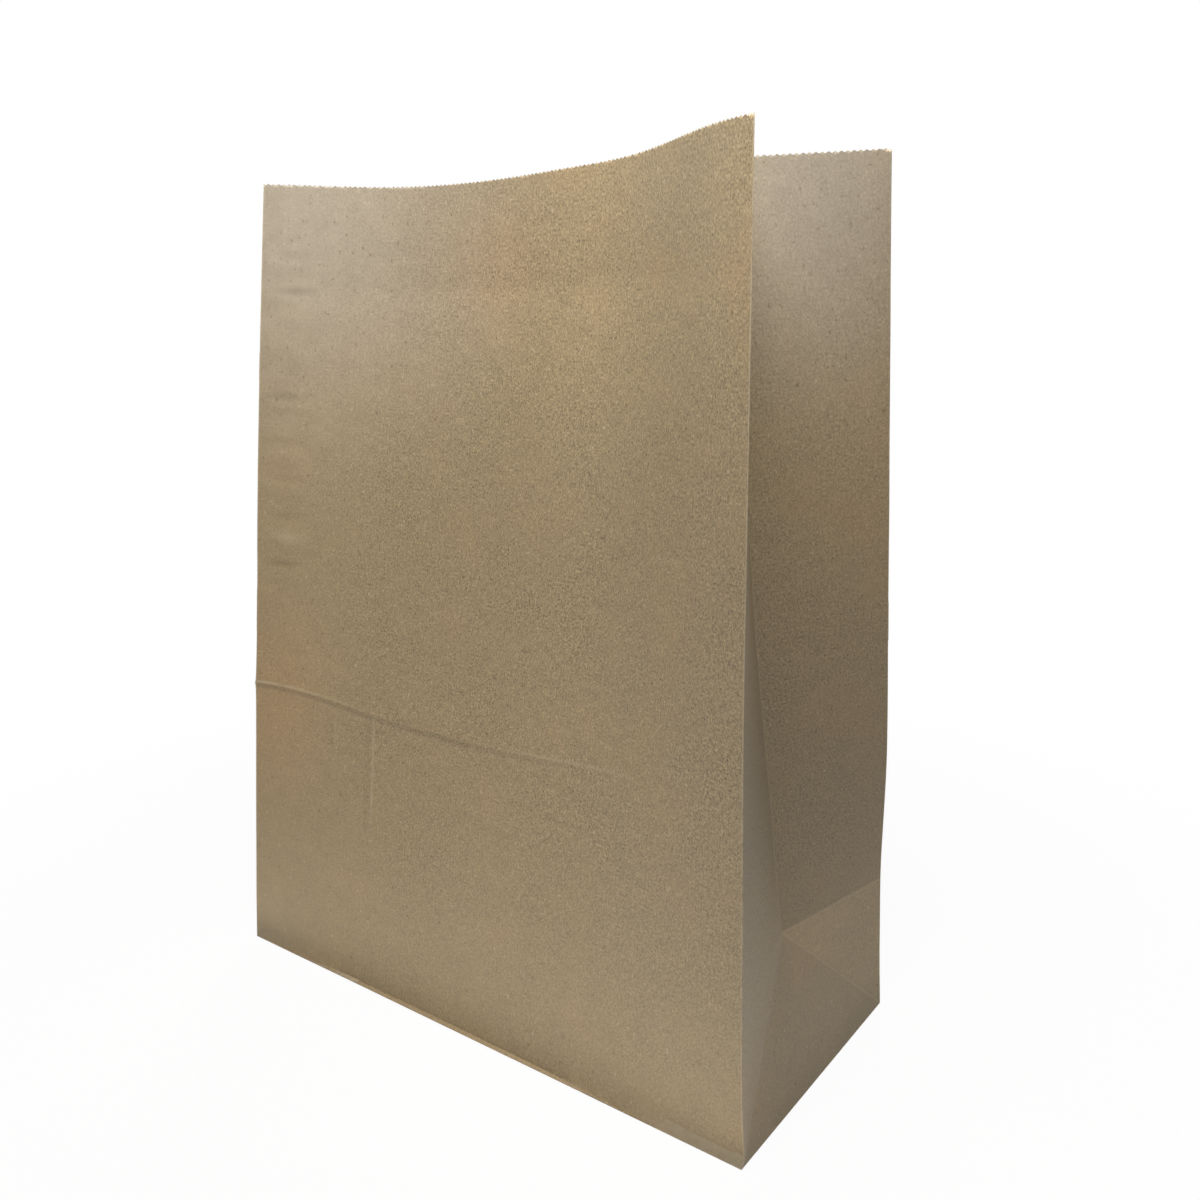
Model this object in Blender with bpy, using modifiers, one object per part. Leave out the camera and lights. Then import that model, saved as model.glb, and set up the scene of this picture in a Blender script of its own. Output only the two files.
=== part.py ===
"""Brown kraft paper bag with a self-opening block bottom, standing open.

One sheet of paper: a front panel, a rear panel with the lengthwise lap seam, two
gussets tucked in along their centre creases, and a bottom closed by four flaps
that are folded in and glued. The mouth and the cut edges of the flaps are pinked.

Metres, +Z up. The origin is the centre of the footprint, the front panel faces -Y.
"""

import cmath
import math

import bmesh
import bpy
from mathutils import Vector
from mathutils.geometry import delaunay_2d_cdt

# Driving dimensions
HEIGHT = 0.330
WIDTH = 0.255
DEPTH = 0.116
PAPER = 0.00012
TOOTH_PITCH = 0.0021
TOOTH_DEPTH = 0.0006
SEAM_LAP = 0.016
FLAP_OVERLAP = 0.018
STACK_CREASE_RIDGE = 0.0006
APEX_DIP = 0.0008

# How far the upright edges have moved from above their base corners, as stations of
# (fraction of the height, fraction of the height moved), toward +X and toward +Y.
FRONT_LEFT_X = ((0, 0), (0.25, 0.0018), (0.5, 0.0129), (0.75, 0.0328), (1, 0.0532))
FRONT_LEFT_Y = ((0, 0), (0.25, 0.023), (0.5, 0.0421), (0.75, 0.0556), (1, 0.0725))
FRONT_RIGHT_X = ((0, 0), (0.25, -0.0068), (0.5, -0.012), (0.75, -0.0098), (1, -0.0125))
FRONT_RIGHT_Y = ((0, 0), (0.5, 0.0058), (0.75, 0.0004), (1, 0.0034))
REAR_RIGHT_X = ((0, 0), (0.175, -0.0047), (0.35, -0.0016), (0.6, -0.0041), (1, -0.0045))
REAR_RIGHT_Y = ((0, 0), (0.175, -0.0091), (0.35, -0.0198), (0.6, -0.0398), (1, -0.0861))
REAR_LEFT_X = ((0, 0), (0.175, -0.0035), (0.35, -0.0005), (0.6, 0.001), (1, 0.0035))
REAR_LEFT_Y = ((0, 0), (0.175, -0.010), (0.35, -0.016), (0.6, -0.024), (1, -0.034))

# Direction of each panel's mouth, in degrees from straight, along its width. Lower
# sections turn less, by what the distance between the upright edges leaves over.
FRONT_TURN = (
    (0, 25.8),
    (0.125, 20.8),
    (0.25, 8.1),
    (0.375, 0.8),
    (0.5, -4.2),
    (0.625, -5),
    (0.75, -16.6),
    (0.875, -20.2),
    (1, -12.5),
)
REAR_TURN = ((0, -26), (0.25, -14), (0.5, 0), (0.75, 14), (1, 26))

# Derived sizes
AROUND = 2 * (WIDTH + DEPTH)
HALF_WIDTH = WIDTH / 2
HALF_DEPTH = DEPTH / 2
FLAP = (DEPTH + FLAP_OVERLAP) / 2
TEETH_WIDE = round(WIDTH / TOOTH_PITCH)
TEETH_DEEP = 2 * round(HALF_DEPTH / TOOTH_PITCH)
LAP_TEETH = round(SEAM_LAP / TOOTH_PITCH)
LAP_START = WIDTH + DEPTH + WIDTH * ((TEETH_WIDE - LAP_TEETH) // 2) / TEETH_WIDE
LAP_END = LAP_START + WIDTH * LAP_TEETH / TEETH_WIDE
FUSE = 0.00002
STEPS = 48
KRAFT = (0.355, 0.270, 0.165, 1.0)


def smooth(at, stations):
    """Value at a place between stations, on cubics whose slopes come from the neighbours."""
    last = len(stations) - 1
    at = min(max(at, stations[0][0]), stations[last][0])
    low = 0
    while low < last - 1 and at > stations[low + 1][0]:
        low += 1

    def slope(i):
        before = stations[max(i - 1, 0)]
        after = stations[min(i + 1, last)]
        return (after[1] - before[1]) / (after[0] - before[0])

    (x0, y0), (x1, y1) = stations[low], stations[low + 1]
    span = x1 - x0
    k = (at - x0) / span
    rise = y0 * (1 + 2 * k) * (1 - k) ** 2 + y1 * k * k * (3 - 2 * k)
    return rise + span * (slope(low) * k * (1 - k) ** 2 + slope(low + 1) * k * k * (k - 1))


def edge(name, level):
    """Plan position of an upright edge, as a complex number, at a fraction of the height."""
    x, y, moved_x, moved_y = {
        "front left": (-HALF_WIDTH, -HALF_DEPTH, FRONT_LEFT_X, FRONT_LEFT_Y),
        "front right": (HALF_WIDTH, -HALF_DEPTH, FRONT_RIGHT_X, FRONT_RIGHT_Y),
        "rear right": (HALF_WIDTH, HALF_DEPTH, REAR_RIGHT_X, REAR_RIGHT_Y),
        "rear left": (-HALF_WIDTH, HALF_DEPTH, REAR_LEFT_X, REAR_LEFT_Y),
    }[name]
    return complex(x + HEIGHT * smooth(level, moved_x), y + HEIGHT * smooth(level, moved_y))


sections = {}


def section(panel, level):
    """Horizontal section of a panel: WIDTH of paper bowed to fit between its two edges."""
    key = (panel, round(level, 6))
    if key in sections:
        return sections[key]
    if panel == "front":
        start, end, turn = edge("front left", level), edge("front right", level), FRONT_TURN
    else:
        start, end, turn = edge("rear right", level), edge("rear left", level), REAR_TURN
    angles = [math.radians(smooth((i + 0.5) / STEPS, turn)) for i in range(STEPS)]
    chord = abs(end - start)
    low, high = 0.0, 1.5
    for _ in range(40):
        share = (low + high) / 2
        reach = abs(sum(cmath.exp(1j * share * angle) for angle in angles)) * WIDTH / STEPS
        if reach > chord:
            low = share
        else:
            high = share
    points = [0j]
    for angle in angles:
        points.append(points[-1] + cmath.exp(1j * share * angle))
    sections[key] = [start + (end - start) * p / points[-1] for p in points]
    return sections[key]


def panel_point(panel, across, up):
    """Plan position and height of a point of the front or rear panel."""
    points = section(panel, up / HEIGHT)
    place = min(max(across / WIDTH, 0), 1) * STEPS
    i = min(int(place), STEPS - 1)
    plan = points[i] + (points[i + 1] - points[i]) * (place - i)
    if panel == "front":
        base = complex(across - HALF_WIDTH, -HALF_DEPTH)
    else:
        base = complex(HALF_WIDTH - across, HALF_DEPTH)
    height = math.sqrt(max(up * up - abs(plan - base) ** 2, 0))
    if panel == "front":
        ends = min(across, WIDTH - across) / (0.15 * WIDTH)
        ridge = STACK_CREASE_RIDGE * math.exp(-abs(up - DEPTH) / 0.012) * min(ends, 1)
        plan -= 1j * ridge
    return plan, height


def apex(side, up):
    """Plan position of a gusset's centre crease: half the gusset from both its edges."""
    name = "right" if side > 0 else "left"
    front = edge("front " + name, up / HEIGHT)
    rear = edge("rear " + name, up / HEIGHT)
    gap = abs(rear - front)
    inward = (rear - front) / gap * (1j if side > 0 else -1j)
    return (front + rear) / 2 + inward * math.sqrt(max(HALF_DEPTH**2 - gap * gap / 4, 0))


def meeting(side):
    """Where the centre crease meets the two diagonal creases from the base corners."""
    plan = apex(side, HALF_DEPTH)
    front = abs(plan - complex(side * HALF_WIDTH, -HALF_DEPTH)) ** 2
    rear = abs(plan - complex(side * HALF_WIDTH, HALF_DEPTH)) ** 2
    return plan, math.sqrt(2 * HALF_DEPTH**2 - (front + rear) / 2)


def blend(a, b, k):
    return a[0] + (b[0] - a[0]) * k, a[1] + (b[1] - a[1]) * k


def gusset_point(side, across, up):
    """Plan position and height of a gusset's point, measured from its front edge."""
    front = panel_point("front", WIDTH if side > 0 else 0, up)
    rear = panel_point("rear", 0 if side > 0 else WIDTH, up)
    meet = meeting(side)
    if up >= HALF_DEPTH:
        top = apex(side, up)
        run = math.sqrt(max((up - HALF_DEPTH) ** 2 - abs(top - meet[0]) ** 2, 0))
        crease = (top, meet[1] + run - APEX_DIP * (up / HEIGHT) ** 2)
        if across <= HALF_DEPTH:
            return blend(front, crease, across / HALF_DEPTH)
        return blend(rear, crease, (DEPTH - across) / HALF_DEPTH)
    if up == 0:
        return blend(front, rear, across / DEPTH)
    k = up / HALF_DEPTH
    front_fold = blend((complex(side * HALF_WIDTH, -HALF_DEPTH), 0), meet, k)
    rear_fold = blend((complex(side * HALF_WIDTH, HALF_DEPTH), 0), meet, k)
    if across < up:
        return blend(front, front_fold, across / up)
    if across > DEPTH - up:
        return blend(rear, rear_fold, (DEPTH - across) / up)
    return blend(front_fold, rear_fold, (across - up) / (DEPTH - 2 * up))


def fold(along, up):
    """Place in the bag of a point of the flat sheet, along it from the front left edge."""
    if along <= WIDTH:
        plan, height = panel_point("front", along, up)
    elif along <= WIDTH + DEPTH:
        plan, height = gusset_point(1, along - WIDTH, up)
    elif along <= 2 * WIDTH + DEPTH:
        plan, height = panel_point("rear", along - WIDTH - DEPTH, up)
    else:
        plan, height = gusset_point(-1, AROUND - along, up)
    return Vector((plan.real, plan.imag, height + PAPER / 2))


def spaced(start, end, count):
    return [start + (end - start) * i / count for i in range(count + 1)]


def pinked(start, end, depth):
    """Points of a zigzag cut between two corners, with its valleys to the left of the way."""
    start, end = Vector(start), Vector(end)
    teeth = max(round((end - start).length / TOOTH_PITCH), 1)
    way = (end - start).normalized()
    left = Vector((-way.y, way.x))
    points = []
    for i in range(2 * teeth + 1):
        points.append(start.lerp(end, i / (2 * teeth)) + left * (depth if i % 2 else 0))
    return points


def blank():
    """Triangles of the flat sheet, with its creases as edges and its mouth pinked."""
    points, lines = [], []
    known = {}

    def point(along, up):
        key = (round(along, 7), round(up, 7))
        if key not in known:
            known[key] = len(points)
            points.append(Vector((along, up)))
        return known[key]

    def crease(*places):
        chain = [point(*place) for place in places]
        lines.extend(zip(chain, chain[1:]))

    rear = WIDTH + DEPTH
    corners = [0, WIDTH, rear, rear + WIDTH, AROUND]
    low = [0, HALF_DEPTH / 2, HALF_DEPTH]
    high = [0.75 * DEPTH, DEPTH] + spaced(DEPTH, HEIGHT - 0.025, 6)[1:] + [HEIGHT - 0.005]
    rows = low + high

    base = set(corners + [LAP_START, LAP_END])
    base.update(spaced(0, WIDTH, 18) + spaced(WIDTH, rear, 4))
    base.update(spaced(rear, LAP_START, 5) + spaced(LAP_END, rear + WIDTH, 5))
    base.update(spaced(rear + WIDTH, AROUND, 4))
    columns = sorted({round(s, 7) for s in base})

    for s in columns:
        middle = any(abs(s - c - HALF_DEPTH) < 1e-6 for c in (WIDTH, rear + WIDTH))
        sharp = any(abs(s - c) < 1e-6 for c in corners + [LAP_START, LAP_END])
        for v in rows:
            if v in (0, HALF_DEPTH) or sharp or v > HALF_DEPTH:
                point(s, v)
        top = (s, HEIGHT)
        if sharp:
            crease(*[(s, v) for v in rows], top)
        elif middle:
            crease(*[(s, v) for v in rows if v >= HALF_DEPTH], top)
    for v in (0, HALF_DEPTH, DEPTH):
        for start, end in ((0, WIDTH), (WIDTH, rear), (rear, rear + WIDTH), (rear + WIDTH, AROUND)):
            wide = end - start == WIDTH or abs(end - start - WIDTH) < 1e-6
            if v == 0 or (v == DEPTH and start == 0) or (v == HALF_DEPTH and start > 0):
                crease(*[(s, v) for s in columns if start - 1e-6 <= s <= end + 1e-6])
            elif wide and v == HALF_DEPTH:
                continue
    for start in (WIDTH, rear + WIDTH):
        crease((start, 0), (start + HALF_DEPTH, HALF_DEPTH))
        crease((start + DEPTH, 0), (start + HALF_DEPTH, HALF_DEPTH))

    mouth = [(0, HEIGHT)]
    for start, size, teeth in (
        (0, WIDTH, TEETH_WIDE),
        (WIDTH, DEPTH, TEETH_DEEP),
        (rear, WIDTH, TEETH_WIDE),
        (rear + WIDTH, DEPTH, TEETH_DEEP),
    ):
        for i in range(1, 2 * teeth + 1):
            cut = TOOTH_DEPTH if i % 2 else 0
            mouth.append((start + size * i / (2 * teeth), HEIGHT - cut))
    crease(*mouth)

    made = delaunay_2d_cdt(points, lines, [], 1, 1e-7)
    return made[0], made[2]


def mesh_object(name, mesh, collection):
    made = bpy.data.objects.new(name, mesh)
    collection.objects.link(made)
    return made


def thickened(name, bm, collection):
    """The sheet made solid, inward from its outer side, as an object of its own."""
    mesh = bpy.data.meshes.new(name)
    bm.to_mesh(mesh)
    sheet = mesh_object(name, mesh, collection)
    paper = sheet.modifiers.new("paper", "SOLIDIFY")
    paper.thickness = PAPER
    paper.offset = -1
    paper.use_even_offset = True
    graph = bpy.context.evaluated_depsgraph_get()
    solid = bpy.data.meshes.new_from_object(sheet.evaluated_get(graph))
    bpy.data.objects.remove(sheet, do_unlink=True)
    bpy.data.meshes.remove(mesh)
    return mesh_object(name, solid, collection)


def walls(collection):
    """The four walls, one thickness of paper, with the second layer of the lap seam."""
    flat, triangles = blank()
    rear = WIDTH + DEPTH
    bm = bmesh.new()
    for place in flat:
        at = fold(place.x, place.y)
        if place.y == 0 and not (place.x <= WIDTH or rear <= place.x <= rear + WIDTH):
            inside = min(abs(place.x - c) for c in (WIDTH, rear, rear + WIDTH, AROUND))
            at.z += 2 * PAPER * min(inside / 0.01, 1)
        bm.verts.new(at)
    bm.verts.ensure_lookup_table()
    lap = []
    for triangle in triangles:
        bm.faces.new([bm.verts[i] for i in triangle])
        middle = sum(flat[i].x for i in triangle) / 3
        lap.append(LAP_START < middle < LAP_END)
    bmesh.ops.remove_doubles(bm, verts=bm.verts, dist=1e-6)
    bag = thickened("paper_bag", bm, collection)
    bm.free()

    # The seam's other layer is drawn out from the outer faces along it.
    bm = bmesh.new()
    bm.from_mesh(bag.data)
    bm.faces.ensure_lookup_table()
    outer = [bm.faces[i] for i in range(len(lap)) if lap[i]]
    outward = {}
    for face in outer:
        for vert in face.verts:
            outward.setdefault(tuple(vert.co), Vector()).__iadd__(face.normal)
    drawn = bmesh.ops.extrude_face_region(bm, geom=outer)["geom"]
    for item in drawn:
        if isinstance(item, bmesh.types.BMVert):
            item.co += outward[tuple(item.co)].normalized() * PAPER
    bmesh.ops.delete(bm, geom=outer, context="FACES")
    bm.to_mesh(bag.data)
    bm.free()
    return bag


def plate(name, outline, bottom, top, collection):
    """A flap: its outline in plan, counter-clockwise, raised from bottom to top."""
    bm = bmesh.new()
    face = bm.faces.new([bm.verts.new((p[0], p[1], bottom)) for p in outline])
    raised = bmesh.ops.extrude_face_region(bm, geom=[face])["geom"]
    moved = [item for item in raised if isinstance(item, bmesh.types.BMVert)]
    bmesh.ops.translate(bm, verts=moved, vec=(0, 0, top - bottom))
    bmesh.ops.recalc_face_normals(bm, faces=bm.faces)
    mesh = bpy.data.meshes.new(name)
    bm.to_mesh(mesh)
    bm.free()
    made = mesh_object(name, mesh, collection)
    made.hide_render = True
    made.display_type = "WIRE"
    return made


def bottom_flaps(collection):
    """The closed bottom: side flaps inside, then their ears, then the front and rear flaps."""
    x = HALF_WIDTH - PAPER / 2
    y = HALF_DEPTH - PAPER / 2
    reach = FLAP - PAPER / 2
    made = []

    rear = [(x, y), (-x, y)]
    rear += pinked((-x + reach, y - reach), (x - reach, y - reach), TOOTH_DEPTH)
    made.append(plate("rear flap", rear, 0, PAPER + FUSE, collection))

    step = y - reach - 0.0004
    short = step + y
    front = [(-x, -y), (x, -y), (x - short, step), (-x + short, step)]
    made.append(plate("front flap", front, 0, PAPER + FUSE, collection))
    back = short - 0.0015
    over = [(-x + back, -y + back), (x - back, -y + back)]
    over += pinked((x - reach, -y + reach), (-x + reach, -y + reach), TOOTH_DEPTH)
    made.append(plate("front flap over", over, PAPER - FUSE, 2 * PAPER + FUSE, collection))

    for side in (1, -1):
        for end in (1, -1):
            cut = reach - 0.001
            ear = [(side * x, end * (y - 0.0003)), (side * x, end * y)]
            ear += [(side * (x - cut), end * y), (side * (x - cut), end * (y - cut - 0.0003))]
            level = FUSE * (1 if end > 0 else 1.5)
            made.append(
                plate("ear", ear, PAPER - level, 2 * PAPER + level, collection)
            )
        cut = pinked((-reach, -y), (-reach, y), -TOOTH_DEPTH)
        outline = [(side * (x + p.x), p.y) for p in cut] + [(side * x, y), (side * x, -y)]
        made.append(plate("side flap", outline, 2 * PAPER, 3 * PAPER, collection))
    return made


def kraft_material():
    material = bpy.data.materials.new("brown kraft paper")
    material.use_nodes = True
    surface = material.node_tree.nodes["Principled BSDF"]
    surface.inputs["Base Color"].default_value = KRAFT
    surface.inputs["Roughness"].default_value = 0.85
    surface.inputs["Metallic"].default_value = 0.0
    material.diffuse_color = KRAFT
    return material


def build():
    for old in list(bpy.data.objects):
        bpy.data.objects.remove(old, do_unlink=True)
    parts = bpy.data.collections.new("brown paper bag")
    flaps = bpy.data.collections.new("bag flaps and helpers")
    bpy.context.scene.collection.children.link(parts)
    bpy.context.scene.collection.children.link(flaps)

    bag = walls(parts)
    for flap in bottom_flaps(flaps):
        join = bag.modifiers.new("glue " + flap.name, "BOOLEAN")
        join.operation = "UNION"
        join.solver = "MANIFOLD"
        join.object = flap
    bag.data.materials.append(kraft_material())


build()
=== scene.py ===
import math

import bpy
import numpy as np
from mathutils import Matrix, Vector


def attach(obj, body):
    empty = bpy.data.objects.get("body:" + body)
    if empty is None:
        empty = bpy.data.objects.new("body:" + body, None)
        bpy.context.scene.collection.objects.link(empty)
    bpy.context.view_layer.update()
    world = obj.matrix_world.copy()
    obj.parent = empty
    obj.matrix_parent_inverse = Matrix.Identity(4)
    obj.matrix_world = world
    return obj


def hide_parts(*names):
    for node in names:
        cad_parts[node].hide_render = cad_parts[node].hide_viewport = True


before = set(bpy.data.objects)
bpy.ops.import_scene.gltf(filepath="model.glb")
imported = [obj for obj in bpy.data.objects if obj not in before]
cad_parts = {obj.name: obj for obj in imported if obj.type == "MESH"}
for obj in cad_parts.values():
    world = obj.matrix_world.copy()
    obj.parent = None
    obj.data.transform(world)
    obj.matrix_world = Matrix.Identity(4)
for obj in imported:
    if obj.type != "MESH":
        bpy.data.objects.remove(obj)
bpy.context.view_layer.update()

# The sheet of paper, with the sizes and folds of the part's source, in metres.
HEIGHT = 0.330
WIDTH = 0.255
DEPTH = 0.116
PAPER = 0.00012
TOOTH_PITCH = 0.0021
TOOTH_DEPTH = 0.0006
TEETH_WIDE = 121
TEETH_DEEP = 54
SEAM_LAP = 0.016
FLAP_OVERLAP = 0.018
APEX_DIP = 0.0008
# Where each upright fold stands off from its corner of the bottom, with both in shares of the
# height, and how a panel's section turns along its width, in degrees.
FRONT_LEFT_X = ((0, 0), (0.25, 0.0018), (0.5, 0.0129), (0.75, 0.0328), (1, 0.0532))
FRONT_LEFT_Y = ((0, 0), (0.25, 0.023), (0.5, 0.0421), (0.75, 0.0556), (1, 0.0725))
FRONT_RIGHT_X = ((0, 0), (0.25, -0.0068), (0.5, -0.012), (0.75, -0.0098), (1, -0.0125))
FRONT_RIGHT_Y = ((0, 0), (0.5, 0.0058), (0.75, 0.0004), (1, 0.0034))
REAR_RIGHT_X = ((0, 0), (0.175, -0.0047), (0.35, -0.0016), (0.6, -0.0041), (1, -0.0045))
REAR_RIGHT_Y = ((0, 0), (0.175, -0.0091), (0.35, -0.0198), (0.6, -0.0398), (1, -0.0861))
REAR_LEFT_X = ((0, 0), (0.175, -0.0035), (0.35, -0.0005), (0.6, 0.001), (1, 0.0035))
REAR_LEFT_Y = ((0, 0), (0.175, -0.010), (0.35, -0.016), (0.6, -0.024), (1, -0.034))
FRONT_TURN = (
    (0, 25.8), (0.125, 20.8), (0.25, 8.1), (0.375, 0.8), (0.5, -4.2),
    (0.625, -5), (0.75, -16.6), (0.875, -20.2), (1, -12.5),
)
REAR_TURN = ((0, -26), (0.25, -14), (0.5, 0), (0.75, 14), (1, 26))

AROUND = 2 * (WIDTH + DEPTH)
HALF_WIDTH = WIDTH / 2
HALF_DEPTH = DEPTH / 2
FLAP = (DEPTH + FLAP_OVERLAP) / 2
REAR = WIDTH + DEPTH
LAP_TEETH = round(SEAM_LAP / TOOTH_PITCH)
LAP_START = REAR + WIDTH * ((TEETH_WIDE - LAP_TEETH) // 2) / TEETH_WIDE
LAP_END = LAP_START + WIDTH * LAP_TEETH / TEETH_WIDE
# Chords in a panel's section.
STEPS = 48
# The strip of paper below the mouth that the teeth are cut in.
RIM = 0.0014
# The flat sheet's place in the material's coordinates.
MAP_SIZE = 0.8
MAP_LIFT = 0.08
HIDDEN_PLACE = 0.3
# Each panel's start on the sheet, its width and its teeth.
PANELS = (
    (0, WIDTH, TEETH_WIDE),
    (WIDTH, DEPTH, TEETH_DEEP),
    (REAR, WIDTH, TEETH_WIDE),
    (REAR + WIDTH, DEPTH, TEETH_DEEP),
)
# Each gusset's centre crease on the sheet, and the way along the sheet to the rear panel.
GUSSETS = ((WIDTH + HALF_DEPTH, 1), (REAR + WIDTH + HALF_DEPTH, -1))


def smooth(at, stations):
    """Values at places between stations, on cubics whose slopes come from the neighbours."""
    x = np.array([s[0] for s in stations], float)
    y = np.array([s[1] for s in stations], float)
    order = np.arange(len(x))
    after = np.minimum(order + 1, len(x) - 1)
    before = np.maximum(order - 1, 0)
    slope = (y[after] - y[before]) / (x[after] - x[before])
    at = np.clip(at, x[0], x[-1])
    low = np.clip(np.searchsorted(x, at, side="left") - 1, 0, len(x) - 2)
    span = x[low + 1] - x[low]
    k = (at - x[low]) / span
    rise = y[low] * (1 + 2 * k) * (1 - k) ** 2 + y[low + 1] * k * k * (3 - 2 * k)
    return rise + span * (slope[low] * k * (1 - k) ** 2 + slope[low + 1] * k * k * (k - 1))


def step(x, low, high):
    k = np.clip((x - low) / (high - low), 0, 1)
    return k * k * (3 - 2 * k)


def edge(name, level):
    x, y, moved_x, moved_y = {
        "front left": (-HALF_WIDTH, -HALF_DEPTH, FRONT_LEFT_X, FRONT_LEFT_Y),
        "front right": (HALF_WIDTH, -HALF_DEPTH, FRONT_RIGHT_X, FRONT_RIGHT_Y),
        "rear right": (HALF_WIDTH, HALF_DEPTH, REAR_RIGHT_X, REAR_RIGHT_Y),
        "rear left": (-HALF_WIDTH, HALF_DEPTH, REAR_LEFT_X, REAR_LEFT_Y),
    }[name]
    x = x + HEIGHT * float(smooth(level, moved_x))
    return complex(x, y + HEIGHT * float(smooth(level, moved_y)))


sections = {}


def section(panel, level):
    """Horizontal section of a panel: WIDTH of paper bowed to fit between its two edges."""
    key = (panel, round(level, 7))
    if key in sections:
        return sections[key]
    if panel == "front":
        start, end, turn = edge("front left", level), edge("front right", level), FRONT_TURN
    else:
        start, end, turn = edge("rear right", level), edge("rear left", level), REAR_TURN
    angles = np.radians(smooth((np.arange(STEPS) + 0.5) / STEPS, turn))
    low, high = 0.0, 1.5
    for _ in range(30):
        share = (low + high) / 2
        if abs(np.exp(1j * share * angles).mean()) * WIDTH > abs(end - start):
            low = share
        else:
            high = share
    points = np.concatenate([[0], np.cumsum(np.exp(1j * share * angles))])
    sections[key] = start + (end - start) * points / points[-1]
    return sections[key]


def panel_row(panel, across, up):
    points = section(panel, up / HEIGHT)
    place = np.clip(across / WIDTH, 0, 1) * STEPS
    at = np.arange(STEPS + 1)
    plan = np.interp(place, at, points.real) + 1j * np.interp(place, at, points.imag)
    if panel == "front":
        base = across - HALF_WIDTH - 1j * HALF_DEPTH
    else:
        base = HALF_WIDTH - across + 1j * HALF_DEPTH
    return plan, np.sqrt(np.maximum(up * up - abs(plan - base) ** 2, 0))


def apex(side, up):
    name = "right" if side > 0 else "left"
    front = edge("front " + name, up / HEIGHT)
    rear = edge("rear " + name, up / HEIGHT)
    gap = abs(rear - front)
    inward = (rear - front) / gap * (1j if side > 0 else -1j)
    return (front + rear) / 2 + inward * math.sqrt(max(HALF_DEPTH**2 - gap * gap / 4, 0))


def meeting(side):
    plan = apex(side, HALF_DEPTH)
    front = abs(plan - complex(side * HALF_WIDTH, -HALF_DEPTH)) ** 2
    rear = abs(plan - complex(side * HALF_WIDTH, HALF_DEPTH)) ** 2
    return plan, math.sqrt(2 * HALF_DEPTH**2 - (front + rear) / 2)


MEETINGS = {side: meeting(side) for side in (1, -1)}


def mix(a, b, k):
    return a[0] + (b[0] - a[0]) * k, a[1] + (b[1] - a[1]) * k


def gusset_row(side, across, up):
    edge_across = np.array([WIDTH if side > 0 else 0.0])
    front = [x[0] for x in panel_row("front", edge_across, up)]
    rear = [x[0] for x in panel_row("rear", WIDTH - edge_across, up)]
    meet = MEETINGS[side]
    if up >= HALF_DEPTH:
        top = apex(side, up)
        run = math.sqrt(max((up - HALF_DEPTH) ** 2 - abs(top - meet[0]) ** 2, 0))
        crease = (top, meet[1] + run - APEX_DIP * (up / HEIGHT) ** 2)
        near = mix(front, crease, across / HALF_DEPTH)
        far = mix(rear, crease, (DEPTH - across) / HALF_DEPTH)
        first = across <= HALF_DEPTH
        return np.where(first, near[0], far[0]), np.where(first, near[1], far[1])
    if up <= 0:
        return mix(front, rear, across / DEPTH)
    k = up / HALF_DEPTH
    front_fold = mix((complex(side * HALF_WIDTH, -HALF_DEPTH), 0), meet, k)
    rear_fold = mix((complex(side * HALF_WIDTH, HALF_DEPTH), 0), meet, k)
    near = mix(front, front_fold, across / up)
    far = mix(rear, rear_fold, (DEPTH - across) / up)
    middle = mix(front_fold, rear_fold, (across - up) / (DEPTH - 2 * up))
    first, last = across < up, across > DEPTH - up
    plan = np.where(first, near[0], np.where(last, far[0], middle[0]))
    return plan, np.where(first, near[1], np.where(last, far[1], middle[1]))


def fold_row(along, up):
    """Places of one row of the flat sheet; below the bottom edge it runs in under the bag."""
    along = np.mod(along, AROUND)
    under = max(-up, 0)
    up = max(up, 0)
    plan = np.zeros(len(along), complex)
    height = np.zeros(len(along))
    for panel, start, end, inward in (
        ("front", 0, WIDTH, 1j),
        ("right", WIDTH, REAR, -1),
        ("rear", REAR, REAR + WIDTH, -1j),
        ("left", REAR + WIDTH, AROUND, 1),
    ):
        mine = (along >= start) & (along < end)
        if not mine.any():
            continue
        across = along[mine] - start
        if panel in ("front", "rear"):
            p, z = panel_row(panel, across, up)
        elif panel == "right":
            p, z = gusset_row(1, across, up)
        else:
            p, z = gusset_row(-1, DEPTH - across, up)
        plan[mine] = p + inward * under
        height[mine] = z
    return np.stack([plan.real, plan.imag, height], -1)


SPREAD = np.array([-1, -0.6, -0.25, 0, 0.25, 0.6, 1])
SHARE = np.array([1, 2, 3, 3.4, 3, 2, 1]) / 15.4


def rounded_row(along, up, radius):
    """A row with every fold in it rounded, as paper folds, by averaging over its radius."""
    place = 0
    for dv, wv in zip(SPREAD * radius, SHARE):
        for ds, ws in zip(SPREAD * radius, SHARE):
            place = place + wv * ws * fold_row(along + ds, up + dv)
    return place


def lattice(x, y, cell, seed):
    """Smooth random heights, from -1 to 1, over a grid of cells."""
    size = 97
    values = np.random.default_rng(seed).uniform(-1, 1, (size, size))
    x, y = np.asarray(x) / cell, np.asarray(y) / cell
    i, j = np.floor(x).astype(int), np.floor(y).astype(int)
    u, v = x - i, y - j
    u, v = u * u * (3 - 2 * u), v * v * (3 - 2 * v)

    def at(a, b):
        return values[a % size, b % size]

    low = at(i, j) * (1 - u) + at(i + 1, j) * u
    high = at(i, j + 1) * (1 - u) + at(i + 1, j + 1) * u
    return low * (1 - v) + high * v


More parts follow.
